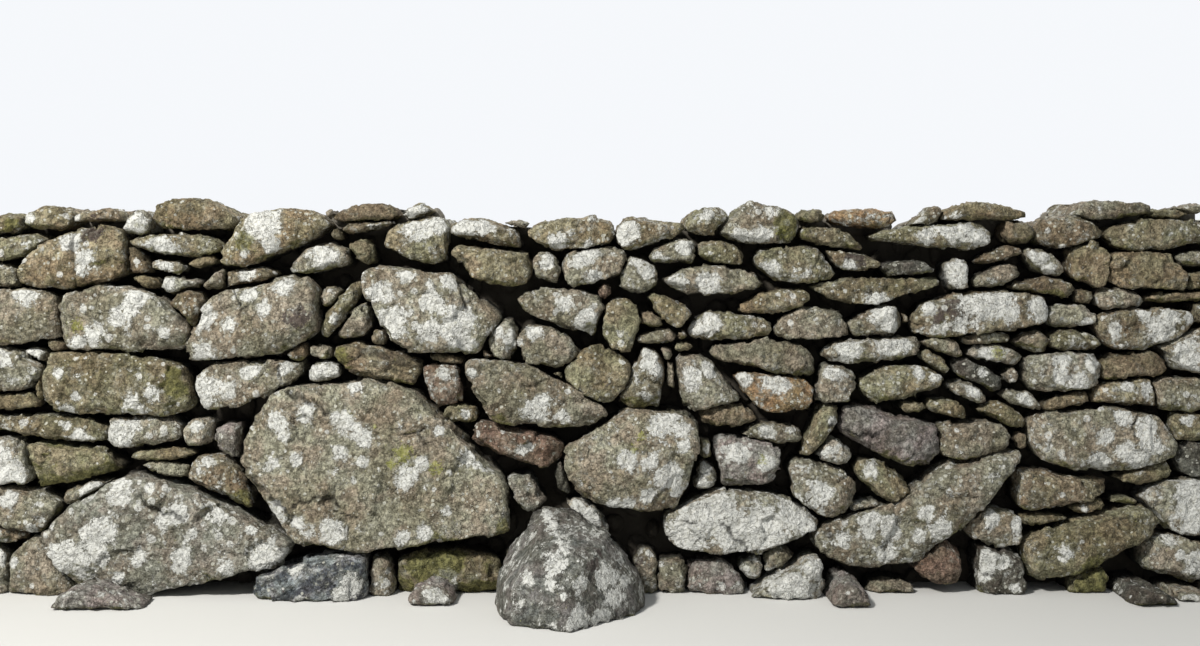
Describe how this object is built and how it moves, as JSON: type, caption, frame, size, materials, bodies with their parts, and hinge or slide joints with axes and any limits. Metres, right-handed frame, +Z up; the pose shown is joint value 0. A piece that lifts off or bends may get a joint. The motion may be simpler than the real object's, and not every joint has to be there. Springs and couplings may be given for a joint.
{
  "type": "dry stone wall",
  "caption": "Free-standing dry stone field wall: two faces of rounded weathered boulders leaning in over a rubble hearting, with loose top stones and squared built ends.",
  "frame": {"origin": "middle of the wall's foot, at ground level", "axes": "+X along the wall, +Z up, the front face with the leaning boulder looks to -Y"},
  "size_m": [5.4, 1.4948, 1.57],
  "materials": {
    "weathered_granite": "rough, with lichen",
    "hearting_rubble": "rough"
  },
  "bodies": {
    "root": {"back_base_stones": "weathered_granite", "back_crest_stones": "weathered_granite", "back_large_boulders": "weathered_granite", "back_lower_stones": "weathered_granite", "back_middle_stones": "weathered_granite", "back_upper_stones": "weathered_granite", "brown_boulder": "weathered_granite", "dark_boulder": "weathered_granite", "front_base_stones": "weathered_granite", "front_crest_stones": "weathered_granite", "front_footings": "weathered_granite", "front_lower_stones": "weathered_granite", "front_middle_stones": "weathered_granite", "front_upper_stones": "weathered_granite", "great_boulder": "weathered_granite", "hearting": "hearting_rubble", "leaning_boulder": "weathered_granite", "left_end_pairs": "weathered_granite", "left_end_through_stones": "weathered_granite", "left_loaf": "weathered_granite", "lens_boulder": "weathered_granite", "long_foot_slab": "weathered_granite", "right_end_pairs": "weathered_granite", "right_end_through_stones": "weathered_granite", "right_foot_slab": "weathered_granite", "shield_boulder": "weathered_granite", "slanting_boulder": "weathered_granite", "slanting_slab": "weathered_granite", "wedge_boulder": "weathered_granite", "white_foot_boulder": "weathered_granite"}
  },
  "joints": []
}
